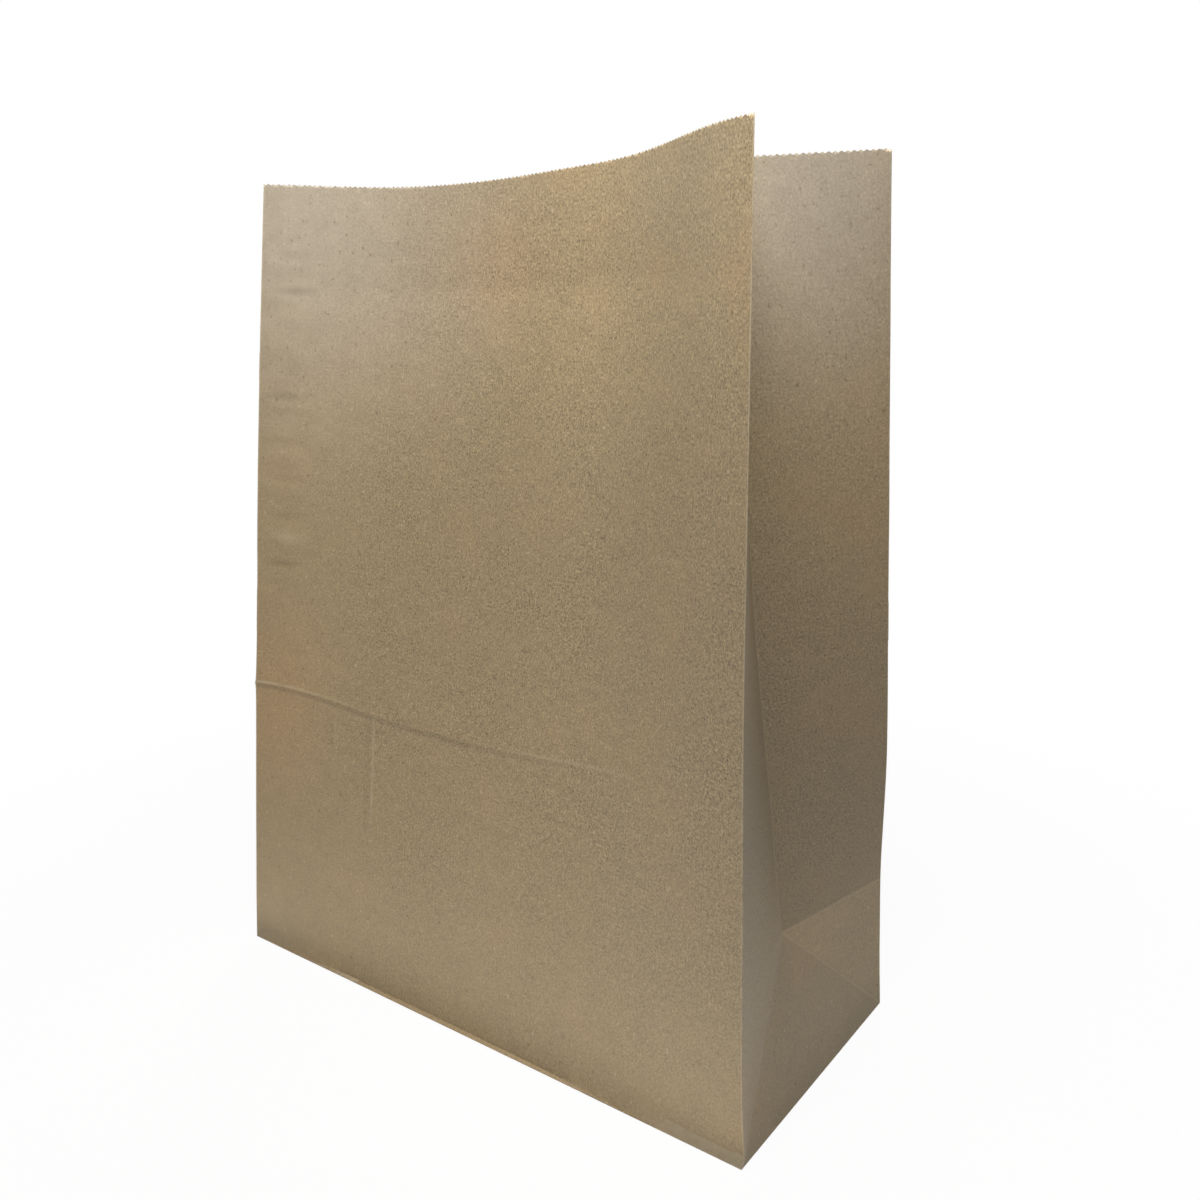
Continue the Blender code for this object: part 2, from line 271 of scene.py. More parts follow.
# Ripples at the left fold, in metres of the sheet: along, up, rise and reach.
RIPPLE_RISE = 1.3
RIPPLES = (
    (0.009, 0.2985, 0.00030, 0.0030), (0.010, 0.2850, 0.00042, 0.0034),
    (0.011, 0.2640, 0.00026, 0.0040), (0.012, 0.2420, 0.00044, 0.0032),
    (0.012, 0.2215, 0.00034, 0.0036), (0.014, 0.2060, 0.00030, 0.0034),
    (0.014, 0.1860, 0.00042, 0.0046), (0.012, 0.1700, 0.00030, 0.0036),
    (0.010, 0.1520, 0.00022, 0.0036), (0.009, 0.1380, 0.00016, 0.0036),
)
# The crease from the folded stack: its height at the left, a fall, and a rise to the right.
STACK_LEVEL = 0.1212
STACK_FALL = (0.002, 0.076, -0.0063)
STACK_RISE = (0.100, 0.240, 0.0090)
# The height at which the short upright creases' places are given.
PRESSED_AT = 0.087


def relief(along, up):
    """How far the paper stands out from its smooth fold, in metres."""
    front = (along <= WIDTH).astype(float)
    rise = 0.00016 * lattice(along + 0.3, up, 0.055, 3) + 0.00007 * lattice(along, up, 0.021, 5)
    hem = step(up, 0.0, 0.02)
    for s, v, high, reach in RIPPLES:
        near = np.exp(-(((along - s) / 0.010) ** 2)) * step(along, 0.0, 0.004)
        slant = v - 0.10 * (along - s)
        rise = rise + RIPPLE_RISE * front * high * near * np.exp(-(((up - slant) / reach) ** 2))
    line = STACK_LEVEL
    for low, high, change in (STACK_FALL, STACK_RISE):
        line = line + change * step(along, low, high)
    away = up - line
    strong = 0.75 * (1 - step(along, 0.03, 0.20)) + 0.25 * (1 - step(along, 0.19, 0.215))
    ridge = 0.0003 * np.exp(-np.abs(away) / 0.0013) + 0.0003 * np.exp(-np.abs(away) / 0.009)
    rise = rise + front * strong * ridge
    for s, lean, low, high, tall in (
        (0.0632, -0.055, 0.058, 0.1150, 0.00030),
        (0.0430, -0.090, 0.076, 0.1100, 0.00014),
    ):
        side = along - s - lean * (up - PRESSED_AT)
        ends = step(up, low - 0.004, low + 0.012) * (1 - step(up, high - 0.004, high + 0.002))
        rise = rise + front * ends * tall * np.exp(-np.abs(side) / 0.0016)
    return rise * hem


# Columns and rows of the mesh on the flat sheet, set close together beside a fold.
NEAR = [0.00015, 0.00035, 0.0007]


def columns():
    made = set()
    for start, size, teeth in PANELS:
        marks = {0, teeth} | set(range(1, teeth // 2 + 1, 2)) | set(range(teeth - 1, teeth // 2, -2))
        if size == DEPTH:
            marks |= {teeth // 2}
        for i in marks:
            made.add(round(start + size * i / teeth, 7))
        for d in NEAR:
            made |= {round(start + d, 7), round(start + size - d, 7)}
            if size == DEPTH:
                made |= {round(start + size / 2 - d, 7), round(start + size / 2 + d, 7)}
    # Closer columns at the left fold's ripples and at the short upright creases.
    pitch = WIDTH / TEETH_WIDE
    for i in range(14):
        made.add(round(i * pitch, 7))
    for i in range(26, 34):
        made |= {round(i * pitch, 7), round((i + 0.5) * pitch, 7)}
    made |= {round(LAP_START, 7), round(LAP_END, 7)}
    return np.array(sorted(made))


def rows():
    pitch = DEPTH / TEETH_DEEP
    low = [0] + NEAR + [pitch * i for i in range(1, TEETH_DEEP // 2, 2)]
    low += [HALF_DEPTH - d for d in NEAR] + [HALF_DEPTH] + [HALF_DEPTH + d for d in NEAR]
    crease = list(np.arange(0.1115, 0.1260, 0.0008))
    before = list(np.linspace(HALF_DEPTH + 0.003, 0.1095, 16))
    after = list(np.linspace(0.1285, HEIGHT - 0.003, 98))
    top = [HEIGHT - RIM]
    return np.array(sorted(set(np.round(low + before + crease + after + top, 7))))


S = columns()
V = rows()
COLS = len(S) - 1
FOLD_RADIUS = 0.00045


def corner_softening(place, along, up):
    """The bottom edge near the front right corner, where the paper turns under slowly."""
    front = along <= WIDTH
    tall = 0.0022 + 0.0034 * step(along, 0.215, 0.252)
    much = step(along, 0.190, 0.250) * front
    below = np.clip(up / tall, 0, 1)
    above = np.exp(-np.maximum(up - tall, 0) / 0.009)
    place[:, 1] -= 0.0009 * much * below * above * (1 - step(along, 0.247, 0.255))
    side = np.where(front, WIDTH - along, along - WIDTH)
    close = np.exp(-side / np.where(front, 0.012, 0.006)) * (along < WIDTH + 0.05)
    edge_rise = np.clip(up / 0.0048, 0, 1) * np.exp(-np.maximum(up - 0.0048, 0) / 0.012)
    place[:, 0] += 0.0010 * close * edge_rise
    place[:, 1] += 0.0005 * close * edge_rise
    return place


def smooth_normals(grid):
    """Outward normals of a grid that joins up around the bag."""
    round_about = np.roll(grid, -1, axis=1) - np.roll(grid, 1, axis=1)
    upward = np.gradient(grid, axis=0)
    normal = np.cross(round_about, upward)
    return normal / np.maximum(np.linalg.norm(normal, axis=2, keepdims=True), 1e-12)


def wall_grid():
    """Outer side of the walls, as rows of points, without the last column, which is the first."""
    along = S[:-1]
    grid = np.array([rounded_row(along, up, FOLD_RADIUS) for up in V])
    normal = smooth_normals(grid)
    for i, up in enumerate(V):
        grid[i] += normal[i] * relief(along, np.full(len(along), up))[:, None]
        grid[i] = corner_softening(grid[i], along, np.full(len(along), up))
    grid[:, :, 2] = np.maximum(grid[:, :, 2], 0)
    return grid


class Sheet:
    """Vertices, faces and flat-sheet coordinates, gathered piece by piece."""

    def __init__(self):
        self.points = []
        self.faces = []
        self.maps = []

    def add(self, points):
        start = len(self.points)
        self.points.extend([tuple(map(float, p)) for p in points])
        return start

    def face(self, ids, places):
        kept = [k for k in range(len(ids)) if ids[k] != ids[k - 1]]
        if len(kept) >= 3:
            self.faces.append([ids[k] for k in kept])
            self.maps.extend([places[k] for k in kept])


def flat(along, up):
    return (along / MAP_SIZE, (up + MAP_LIFT) / MAP_SIZE)


def add_walls(sheet):
    outer = wall_grid()
    normal = smooth_normals(outer)
    inner = outer - normal * PAPER
    # The seam's outer layer starts in a step, and the inner layer ends in one inside.
    along = S[:-1]
    raised = ((along >= LAP_START - 1e-7) & (along <= LAP_START + 0.03)).astype(float)
    raised *= 1 - step(along, LAP_START + 0.012, LAP_START + 0.03)
    outer = outer + normal * (PAPER * raised)[None, :, None]
    lapped = ((along >= LAP_START - 1e-7) & (along < LAP_END + 1e-7)).astype(float)
    inner = inner - normal * (PAPER * lapped * (1 - raised))[None, :, None]
    inner[:, :, 2] = np.maximum(inner[:, :, 2], 0)
    n = len(along)
    out0 = sheet.add(outer.reshape(-1, 3))
    in0 = sheet.add(inner.reshape(-1, 3))

    def quad(base, i, j, inside):
        a, b = base + i * n + j, base + i * n + (j + 1) % n
        c, d = b + n, a + n
        pa, pb = flat(S[j], V[i]), flat(S[j + 1], V[i])
        pc, pd = flat(S[j + 1], V[i + 1]), flat(S[j], V[i + 1])
        # Quads are split along the gussets' diagonal creases.
        start = WIDTH if WIDTH <= S[j] < REAR else REAR + WIDTH
        slanted = start <= S[j] < start + DEPTH and V[i] < HALF_DEPTH
        rising = slanted and S[j] - start < HALF_DEPTH - 1e-6
        faces = [([a, b, c, d], [pa, pb, pc, pd])]
        if rising:
            faces = [([a, b, c], [pa, pb, pc]), ([a, c, d], [pa, pc, pd])]
        elif slanted:
            faces = [([a, b, d], [pa, pb, pd]), ([b, c, d], [pb, pc, pd])]
        for ids, places in faces:
            if inside:
                sheet.face(ids[::-1], places[::-1])
            else:
                sheet.face(ids, places)

    for i in range(len(V) - 1):
        for j in range(COLS):
            quad(out0, i, j, False)
            quad(in0, i, j, True)

    # The pinked mouth: each tooth's tip on the line of the mouth, its valleys below it.
    tips = []
    for start, size, teeth in PANELS:
        for i in range(2 * teeth):
            tips.append((start + size * i / (2 * teeth), TOOTH_DEPTH if i % 2 else 0.0))
    mouth_s = np.array([t[0] for t in tips])
    cut = np.array([t[1] for t in tips])
    top = rounded_row(mouth_s, HEIGHT, FOLD_RADIUS)
    below = rounded_row(mouth_s, HEIGHT - RIM, FOLD_RADIUS)
    rim = top + (below - top) * (cut / RIM)[:, None]
    last = np.interp(mouth_s, S, np.arange(len(S)))
    low = np.floor(last + 1e-9).astype(int)
    part = (last - low)[:, None]
    row = outer[-1][low % n] * (1 - part) + outer[-1][(low + 1) % n] * part
    way = normal[-1][low % n] * (1 - part) + normal[-1][(low + 1) % n] * part
    rim = rim + (row - below)
    inside_rim = rim - way * PAPER
    m = len(mouth_s)
    o_rim = sheet.add(rim)
    i_rim = sheet.add(inside_rim)
    ends = np.append(mouth_s, AROUND)
    heights = np.append(HEIGHT - cut, HEIGHT)
    top_row = (len(V) - 1) * n
    k = 0
    for j in range(COLS):
        # The strip between the last row and the teeth, fanned out from each column.
        mine = []
        while k < m and ends[k] < S[j + 1] - 1e-9:
            mine.append(k)
            k += 1
        chain = mine + [k]
        if ends[chain[0]] > S[j] + 1e-9:
            chain = [chain[0] - 1] + chain
        a, b = top_row + j, top_row + (j + 1) % n
        pa, pb = flat(S[j], V[-1]), flat(S[j + 1], V[-1])
        middle = (S[j] + S[j + 1]) / 2
        turn = max([i for i, c in enumerate(chain) if ends[c] <= middle + 1e-9], default=0)
        for base, rim0, inside in ((out0, o_rim, False), (in0, i_rim, True)):
            ids = [([base + a, base + b, rim0 + chain[turn] % m],
                    [pa, pb, flat(ends[chain[turn]], heights[chain[turn]])])]
            for q in range(len(chain) - 1):
                c, d = chain[q], chain[q + 1]
                pc, pd = flat(ends[c], heights[c]), flat(ends[d], heights[d])
                if q < turn:
                    ids.append(([base + a, rim0 + d % m, rim0 + c % m], [pa, pd, pc]))
                else:
                    ids.append(([base + b, rim0 + d % m, rim0 + c % m], [pb, pd, pc]))
            for f, places in ids:
                sheet.face(f[::-1] if inside else f, places[::-1] if inside else places)
    for q in range(m):
        a, b = q, (q + 1) % m
        pa, pb = flat(ends[q], heights[q]), flat(ends[q + 1], heights[q + 1])
        sheet.face([o_rim + a, o_rim + b, i_rim + b, i_rim + a], [pa, pb, pb, pa])
    # The walls' lower ends, on the flaps.
    for j in range(COLS):
        a, b = j, (j + 1) % n
        pa, pb = flat(S[j], 0), flat(S[j + 1], 0)
        sheet.face([in0 + a, in0 + b, out0 + b, out0 + a], [pa, pb, pb, pa])


def add_plate(sheet, outline, bottom, top, start, sign):
    """A flap of the bottom, its outline counter-clockwise in plan."""
    n = len(outline)
    low = sheet.add([(x, y, bottom) for x, y in outline])
    high = sheet.add([(x, y, top) for x, y in outline])
    places = [flat(start + sign * x, -abs(y) - 0.002) for x, y in outline]
    sheet.face([high + i for i in range(n)], places)
    sheet.face([low + n - 1 - i for i in range(n)], places[::-1])
    for i in range(n):
        j = (i + 1) % n
        sheet.face(
            [low + i, low + j, high + j, high + i], [places[i], places[j], places[j], places[i]]
        )


def pinked(start, end, depth):
    start, end = Vector(start), Vector(end)
    teeth = max(round((end - start).length / TOOTH_PITCH), 1)
    way = (end - start).normalized()
    left = Vector((-way.y, way.x))
    points = []
    for i in range(2 * teeth + 1):
        p = start.lerp(end, i / (2 * teeth)) + left * (depth if i % 2 else 0)
        points.append((p.x, p.y))
    return points


def add_bottom(sheet):
    inset = 0.00035
    x, y = HALF_WIDTH - inset, HALF_DEPTH - inset
    reach = FLAP - inset
    gap = 0.00001
    rear = [(x, y), (-x, y)] + pinked((-x + reach, y - reach), (x - reach, y - reach), TOOTH_DEPTH)
    add_plate(sheet, rear, 0, PAPER, REAR + HALF_WIDTH, -1)
    level = y - reach - 0.0004
    short = level + y
    front = [(-x, -y), (x, -y), (x - short, level), (-x + short, level)]
    add_plate(sheet, front, 0, PAPER, HALF_WIDTH, 1)
    back = short - 0.0015
    over = [(-x + back, -y + back), (x - back, -y + back)]
    over += pinked((x - reach, -y + reach), (-x + reach, -y + reach), TOOTH_DEPTH)
    add_plate(sheet, over, PAPER + gap, 2 * PAPER, HALF_WIDTH, 1)
    for side in (1, -1):
        cut = pinked((-reach, -y), (-reach, y), -TOOTH_DEPTH)
        outline = [(side * (x + p[0]), p[1]) for p in cut] + [(side * x, y), (side * x, -y)]
        if side > 0:
            outline = outline[::-1]
        add_plate(sheet, outline, 2 * PAPER + gap, 3 * PAPER, HIDDEN_PLACE, 1)
        for end in (1, -1):
            reach_in = reach - 0.001
            ear = [(side * x, end * (y - 0.0003)), (side * x, end * y)]
            ear += [(side * (x - reach_in), end * y)]
            ear += [(side * (x - reach_in), end * (y - reach_in - 0.0003))]
            if side * end < 0:
                ear = ear[::-1]
            add_plate(sheet, ear, PAPER + gap, 2 * PAPER, HIDDEN_PLACE, 1)


def make_bag():
    sheet = Sheet()
    add_walls(sheet)
    add_bottom(sheet)
    mesh = bpy.data.meshes.new("kraft_bag")
    mesh.from_pydata(sheet.points, [], sheet.faces)
    layer = mesh.uv_layers.new(name="sheet")
    layer.data.foreach_set("uv", np.array(sheet.maps, np.float32).ravel())
    mesh.polygons.foreach_set("use_smooth", [True] * len(mesh.polygons))
    mesh.set_sharp_from_angle(angle=math.radians(50))
    mesh.validate()
    bag = bpy.data.objects.new("kraft_bag", mesh)
    bpy.context.scene.collection.objects.link(bag)
    return bag


class Nodes:
    """A material's node tree, with short calls to add and join nodes."""

    def __init__(self, material):
        self.tree = material.node_tree

    def new(self, kind, **settings):
        node = self.tree.nodes.new(kind)
        for name, value in settings.items():
            setattr(node, name, value)
        return node

    def put(self, socket, value):
        if isinstance(value, bpy.types.NodeSocket):
            self.tree.links.new(value, socket)
        else:
            socket.default_value = value

    def math(self, operation, a, b=None, c=None, clamp=False):
        node = self.new("ShaderNodeMath", operation=operation, use_clamp=clamp)
        for socket, value in zip(node.inputs, (a, b, c)):
            if value is not None:
                self.put(socket, value)
        return node.outputs[0]

    def ramp(self, value, low, high, to_low=0.0, to_high=1.0, kind="SMOOTHSTEP"):
        node = self.new("ShaderNodeMapRange", interpolation_type=kind)
        for socket, v in zip(node.inputs, (value, low, high, to_low, to_high)):
            self.put(socket, v)
        return node.outputs[0]

    def noise(self, vector, scale, detail=2.0, roughness=0.5, stretch=(1, 1, 1), offset=(0, 0, 0)):
        moved = self.new("ShaderNodeMapping")
        self.put(moved.inputs["Vector"], vector)
        moved.inputs["Scale"].default_value = stretch
        moved.inputs["Location"].default_value = offset
        node = self.new("ShaderNodeTexNoise", noise_dimensions="3D")
        self.put(node.inputs["Vector"], moved.outputs[0])
        node.inputs["Scale"].default_value = scale
        node.inputs["Detail"].default_value = detail
        node.inputs["Roughness"].default_value = roughness
        return node.outputs["Fac"]

    def mix(self, amount, a, b, blend="MIX"):
        node = self.new("ShaderNodeMix", data_type="RGBA", blend_type=blend, clamp_factor=True)
        self.put(node.inputs[0], amount)
        self.put(node.inputs[6], a)
        self.put(node.inputs[7], b)
        return node.outputs[2]


# The paper's colours, linear, and the grey tint of the painted sheen.
KRAFT = (0.355, 0.267, 0.152, 1)
PALE = (0.52, 0.43, 0.30, 1)
WARM = (0.405, 0.275, 0.148, 1)
SHEEN_GREY = (0.395, 0.334, 0.256, 1)
DARK = (0.180, 0.128, 0.072, 1)


def spot(n, along, up, place, reach):
    """A soft round patch on the sheet: 1 in its middle, 0 beyond its reach."""
    x = n.math("DIVIDE", n.math("SUBTRACT", along, place[0]), reach[0])
    y = n.math("DIVIDE", n.math("SUBTRACT", up, place[1]), reach[1])
    away = n.math("SQRT", n.math("ADD", n.math("MULTIPLY", x, x), n.math("MULTIPLY", y, y)))
    return n.ramp(away, 0.0, 1.0, 1.0, 0.0)


def fold_wear(n, along, up):
    """Worn fibres on the four upright folds, the bottom edge and the gussets' creases."""
    wear_and_highlight = None
    for place in (0.0, WIDTH, REAR, REAR + WIDTH, AROUND):
        away = n.math("ABSOLUTE", n.math("SUBTRACT", along, place))
        line = n.ramp(away, 0.0003, 0.0008, 1.0, 0.0)
        wear_and_highlight = line if wear_and_highlight is None else n.math("MAXIMUM", wear_and_highlight, line)
    base = n.ramp(n.math("ABSOLUTE", up), 0.0002, 0.0008, 0.7, 0.0)
    wear_and_highlight = n.math("MAXIMUM", wear_and_highlight, base)
    for place, toward in GUSSETS:
        offset = n.math("SUBTRACT", along, place)
        middle = n.math("ABSOLUTE", offset)
        rear_half = n.math("GREATER_THAN", n.math("MULTIPLY", offset, toward), 0.0)
        higher = n.math("GREATER_THAN", up, HALF_DEPTH)
        inside = n.math("LESS_THAN", middle, HALF_DEPTH)
        centre = n.math("MULTIPLY", n.ramp(middle, 0.0001, 0.0006, 0.5, 0.0), higher)
        across = n.math("SUBTRACT", HALF_DEPTH, middle)
        slant = n.ramp(n.math("ABSOLUTE", n.math("SUBTRACT", across, up)), 0.0002, 0.0008, 0.5, 0.0)
        slant = n.math("MULTIPLY", slant, n.math("SUBTRACT", 1.0, higher))
        level = n.math("ABSOLUTE", n.math("SUBTRACT", up, HALF_DEPTH))
        level = n.math("MULTIPLY", n.ramp(level, 0.0002, 0.0008, 0.4, 0.0), rear_half)
        folds = n.math("MAXIMUM", slant, level)
        wear_and_highlight = n.math("MAXIMUM", wear_and_highlight, centre)
        wear_and_highlight = n.math("MAXIMUM", wear_and_highlight, n.math("MULTIPLY", folds, inside))
    return wear_and_highlight


# Painted shade in the hollows and painted highlights on the crests of the ripples at the left fold:
# along, up and strength.
RIPPLE_PAINTED_SHADES = (
    ((0.013, 0.3030), 0.4), ((0.014, 0.2890), 1.0), ((0.012, 0.2467), 0.9), ((0.012, 0.2284), 0.5),
    ((0.014, 0.2130), 0.4), ((0.015, 0.1970), 0.5), ((0.013, 0.1760), 0.9),
)
RIPPLE_HIGHLIGHTS = (
    ((0.013, 0.2927), 0.3), ((0.014, 0.2807), 0.5), ((0.012, 0.2370), 0.35), ((0.014, 0.1874), 0.4),
)


def crease_marks(n, along, up):
    """Painted highlight and painted shade: bright and dark lines of the creases pressed across and
    down the front panel, and spots on the ripples at the left fold.
    """
    line = STACK_LEVEL
    for low, high, change in (STACK_FALL, STACK_RISE):
        line = n.math("ADD", line, n.ramp(along, low, high, 0.0, change))
    above = n.math("SUBTRACT", up, line)
    # Painted highlight just above the stack crease and painted shade just below it, as its ridge
    # takes the light from above.
    painted_highlight = n.ramp(n.math("ABSOLUTE", n.math("SUBTRACT", above, 0.0008)), 0.0002, 0.0009, 1.0, 0.0)
    painted_shade_and_seam = n.ramp(n.math("ABSOLUTE", n.math("ADD", above, 0.0008)), 0.0004, 0.0019, 1.0, 0.0)
    left = n.ramp(along, 0.015, 0.060, 0.8, 0.05)
    right = n.math("MULTIPLY", n.ramp(along, 0.125, 0.150, 0, 0.40), n.ramp(along, 0.19, 0.21, 1, 0))
    painted_highlight = n.math("MULTIPLY", painted_highlight, n.math("ADD", left, right))
    painted_shade_and_seam = n.math("MULTIPLY", painted_shade_and_seam, n.ramp(along, 0.09, 0.20, 0.9, 0.0))
    # Painted shade in the ripples' hollows, and painted highlight on their crests.
    for place, much in RIPPLE_PAINTED_SHADES:
        hollow_shade = n.math("MULTIPLY", spot(n, along, up, place, (0.013, 0.0028)), much)
        painted_shade_and_seam = n.math("MAXIMUM", painted_shade_and_seam, hollow_shade)
    for place, much in RIPPLE_HIGHLIGHTS:
        crest_highlight = n.math("MULTIPLY", spot(n, along, up, place, (0.012, 0.0050)), much)
        painted_highlight = n.math("MAXIMUM", painted_highlight, crest_highlight)
    # Painted highlight on the thin line of each short upright crease, and painted shade beside it.
    for place, lean, low, high, much in (
        (0.0632, -0.055, 0.062, 0.1150, 0.55),
        (0.0430, -0.090, 0.086, 0.1110, 0.30),
    ):
        side = n.math("MULTIPLY_ADD", n.math("SUBTRACT", up, PRESSED_AT), -lean, along)
        side = n.math("SUBTRACT", side, place)
        ends = n.ramp(up, low, low + 0.015, 0.0, much)
        ends = n.math("MULTIPLY", ends, n.ramp(up, high - 0.002, high + 0.002, 1.0, 0.0))
        thin = n.ramp(n.math("ABSOLUTE", side), 0.0002, 0.0009, 1.0, 0.0)
        soft = n.ramp(n.math("ABSOLUTE", n.math("ADD", side, 0.003)), 0.0, 0.003, 0.7, 0.0)
        painted_highlight = n.math("MAXIMUM", painted_highlight, n.math("MULTIPLY", thin, ends))
        painted_shade_and_seam = n.math("MAXIMUM", painted_shade_and_seam, n.math("MULTIPLY", soft, ends))
    return painted_highlight, painted_shade_and_seam


def kraft():
    material = bpy.data.materials.new("kraft paper")
    material.use_nodes = True
    n = Nodes(material)
    surface = n.tree.nodes["Principled BSDF"]
    chart = n.new("ShaderNodeUVMap", uv_map="sheet")
    sized = n.new("ShaderNodeVectorMath", operation="SCALE")
    n.put(sized.inputs[0], chart.outputs[0])
    sized.inputs["Scale"].default_value = MAP_SIZE
    paper = sized.outputs[0]
    apart = n.new("ShaderNodeSeparateXYZ")
    n.put(apart.inputs[0], paper)
    along = apart.outputs["X"]
    up = n.math("SUBTRACT", apart.outputs["Y"], MAP_LIFT)

    # Clouds, mottle, fibres along the height, and fine flecks.
    cloud = n.noise(paper, 26, 3, 0.55)
    mottle = n.noise(paper, 120, 3, 0.6, offset=(3, 1, 0))
    fibre = n.noise(paper, 900, 3, 0.6, stretch=(1, 0.33, 1), offset=(7, 2, 0))
    grain = n.noise(paper, 1500, 2, 0.7, stretch=(1, 0.75, 1), offset=(1, 5, 0))
    fleck = n.noise(paper, 700, 1, 0.5, stretch=(1, 0.6, 1), offset=(9, 9, 0))

    # The grain shows less towards the left fold and the bottom, in the gussets and under the painted
    # sheen of the top corners, and from cloud to cloud.
    clear = n.math("MULTIPLY", n.ramp(along, 0.0, 0.09, 0.42, 1.0), n.ramp(up, 0.0, 0.12, 0.5, 1.0))
    clear = n.math("MULTIPLY", clear, n.ramp(cloud, 0.35, 0.65, 1.15, 0.85))
    # Painted sheen: soft patches on the top left of the front panel and at the top of the right
    # gusset.
    pale = n.math(
        "MAXIMUM",
        spot(n, along, up, (0.010, 0.320), (0.150, 0.135)),
        spot(n, along, up, (0.345, 0.325), (0.080, 0.110)),
    )
    for place, _ in GUSSETS:
        middle = n.math("ABSOLUTE", n.math("SUBTRACT", along, place))
        clear = n.math("MULTIPLY", clear, n.ramp(middle, HALF_DEPTH - 0.001, HALF_DEPTH, 0.75, 1.0))
    clear = n.math("MULTIPLY", clear, n.math("MULTIPLY_ADD", pale, -0.60, 1.0))
    coarse = n.math("MULTIPLY_ADD", fibre, 0.84, -0.42)
    coarse = n.math("ADD", coarse, n.math("MULTIPLY_ADD", grain, 2.4, -1.20))
    tone_and_painted_shade = n.math("MULTIPLY_ADD", cloud, 0.10, 0.95)
    tone_and_painted_shade = n.math("ADD", tone_and_painted_shade, n.math("MULTIPLY_ADD", mottle, 0.26, -0.13))
    tone_and_painted_shade = n.math("ADD", tone_and_painted_shade, n.math("MULTIPLY", coarse, clear))
    low_patch = spot(n, along, up, (0.010, 0.112), (0.045, 0.070))
    high_patch = n.math("MULTIPLY", spot(n, along, up, (0.105, 0.300), (0.045, 0.035)), 0.8)
    patches = n.math("MAXIMUM", low_patch, high_patch)
    warm = n.math("MAXIMUM", n.ramp(cloud, 0.48, 0.72, 0.0, 0.40), patches)
    colour = n.mix(warm, KRAFT, WARM)
    # Painted sheen: those patches are mixed towards the grey sheen tint.
    colour = n.mix(n.math("MULTIPLY", pale, 0.9), colour, SHEEN_GREY)
    colour = n.mix(n.ramp(fleck, 0.64, 0.78, 0.0, 0.6), colour, DARK)
    colour = n.mix(n.ramp(fleck, 0.34, 0.22, 0.0, 0.5), colour, PALE)
    painted_highlight, painted_shade_and_seam = crease_marks(n, along, up)
    # The paper that turns under at the front right corner is painted paler, a painted highlight
    # where it curves under.
    turned_highlight = n.ramp(along, 0.205, 0.235, 0.0, 0.75)
    turned_highlight = n.math("MULTIPLY", turned_highlight, n.ramp(up, 0.0052, 0.0058, 1.0, 0.0))
    turned_highlight = n.math("MULTIPLY", turned_highlight, n.math("LESS_THAN", along, WIDTH))
    painted_highlight = n.math("MAXIMUM", painted_highlight, turned_highlight)
    # The cut edge of the lap seam, and the glued band beside it.
    seam = n.ramp(n.math("ABSOLUTE", n.math("SUBTRACT", along, LAP_START)), 0.0002, 0.0007, 0.9, 0.0)
    glued = n.math("GREATER_THAN", along, LAP_START)
    glued = n.math("MULTIPLY", glued, n.math("LESS_THAN", along, LAP_END))
    painted_shade_and_seam = n.math("MAXIMUM", painted_shade_and_seam, n.math("MAXIMUM", seam, n.math("MULTIPLY", glued, 0.25)))
    # The painted shade of the creases and ripples, with the real darker seam, darkens the tone.
    tone_and_painted_shade = n.math("MULTIPLY", tone_and_painted_shade, n.math("MULTIPLY_ADD", painted_shade_and_seam, -0.22, 1.0))
    # Painted shade on the gussets, which fold in: they are darker above their level crease, and a
    # little darker in the triangle below it.
    fade = n.ramp(up, 0.10, 0.24, 1.0, 0.0)
    for place, toward in GUSSETS:
        offset = n.math("SUBTRACT", along, place)
        middle = n.math("ABSOLUTE", offset)
        inside = n.math("LESS_THAN", middle, HALF_DEPTH)
        rear_half = n.math("GREATER_THAN", n.math("MULTIPLY", offset, toward), 0.0)
        sudden = n.math("GREATER_THAN", up, HALF_DEPTH)
        slow = n.ramp(up, 0.02, 0.12)
        gusset_painted_shade = n.math("MULTIPLY_ADD", n.math("SUBTRACT", sudden, slow), rear_half, slow)
        gusset_painted_shade = n.math("MULTIPLY", n.math("MULTIPLY", gusset_painted_shade, fade), inside)
        wedge_painted_shade = n.math("LESS_THAN", n.math("ADD", up, middle), HALF_DEPTH)
        change = n.math("MULTIPLY_ADD", wedge_painted_shade, -0.08, n.math("MULTIPLY", gusset_painted_shade, -0.23))
        tone_and_painted_shade = n.math("MULTIPLY", tone_and_painted_shade, n.math("ADD", change, 1.0))
    shade = n.new("ShaderNodeCombineColor")
    for socket in shade.inputs[:3]:
        n.put(socket, tone_and_painted_shade)
    colour = n.mix(1.0, colour, shade.outputs[0], "MULTIPLY")

    wear_and_highlight = fold_wear(n, along, up)
    patchy = n.ramp(n.noise(paper, 160, 2, 0.6, offset=(2, 8, 0)), 0.3, 0.62, 0.45, 1.0)
    # The painted highlights join the real fold wear here, and both are mixed towards the pale
    # colour.
    wear_and_highlight = n.math("MULTIPLY", n.math("MAXIMUM", wear_and_highlight, painted_highlight), patchy)
    colour = n.mix(n.math("MULTIPLY", wear_and_highlight, 0.7), colour, PALE)
    n.put(surface.inputs["Base Color"], colour)

    rough = n.math("ADD", n.math("MULTIPLY_ADD", mottle, 0.16, 0.42), n.math("MULTIPLY", wear_and_highlight, 0.2))
    n.put(surface.inputs["Roughness"], rough)
    surface.inputs["Specular IOR Level"].default_value = 0.5

